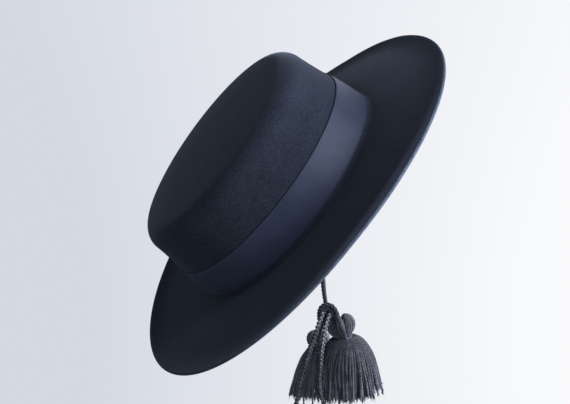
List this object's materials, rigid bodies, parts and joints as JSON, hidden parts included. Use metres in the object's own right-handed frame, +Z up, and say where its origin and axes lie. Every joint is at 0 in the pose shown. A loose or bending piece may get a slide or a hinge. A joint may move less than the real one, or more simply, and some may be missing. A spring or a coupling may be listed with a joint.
{
  "type": "flat-crowned felt hat with ribbon band and tasselled chin cord",
  "caption": "Stiff felt hat with a flat crown, a wide brim, a ribbon band and a chin cord that ends in yarn tassels and braided ends, held as it is worn.",
  "frame": {"origin": "middle of the head opening, where the crown's wall meets the brim", "axes": "+Z up as the hat is worn, +X to the wearer's front, +Y to the wearer's left; the crown's axis leans back from +Z"},
  "size_m": [0.2392, 0.3222, 0.2884],
  "materials": {
    "felt": "dense brushed wool felt, matt",
    "ribbon": "woven ribbon with a soft sheen",
    "tab": "plain woven tape",
    "cord": "twisted cotton cord",
    "braid": "flat braided cord",
    "yarn": "soft twisted yarn"
  },
  "bodies": {
    "root": {"felt_crown_and_brim": "felt", "ribbon_band": "ribbon", "cord_tab_right": "tab", "cord_tab_left": "tab", "chin_cord_right": "cord", "chin_cord_left": "cord", "cord_knot": "cord", "front_tassel_hanger": "cord", "front_tassel_binding": "yarn", "front_tassel_yarn": "yarn", "rear_tassel_hanger": "cord", "rear_tassel_binding": "yarn", "rear_tassel_yarn": "yarn", "braided_end_long": "braid", "braided_end_long_knot": "braid", "braided_end_short": "braid", "braided_end_short_knot": "braid"}
  },
  "joints": []
}
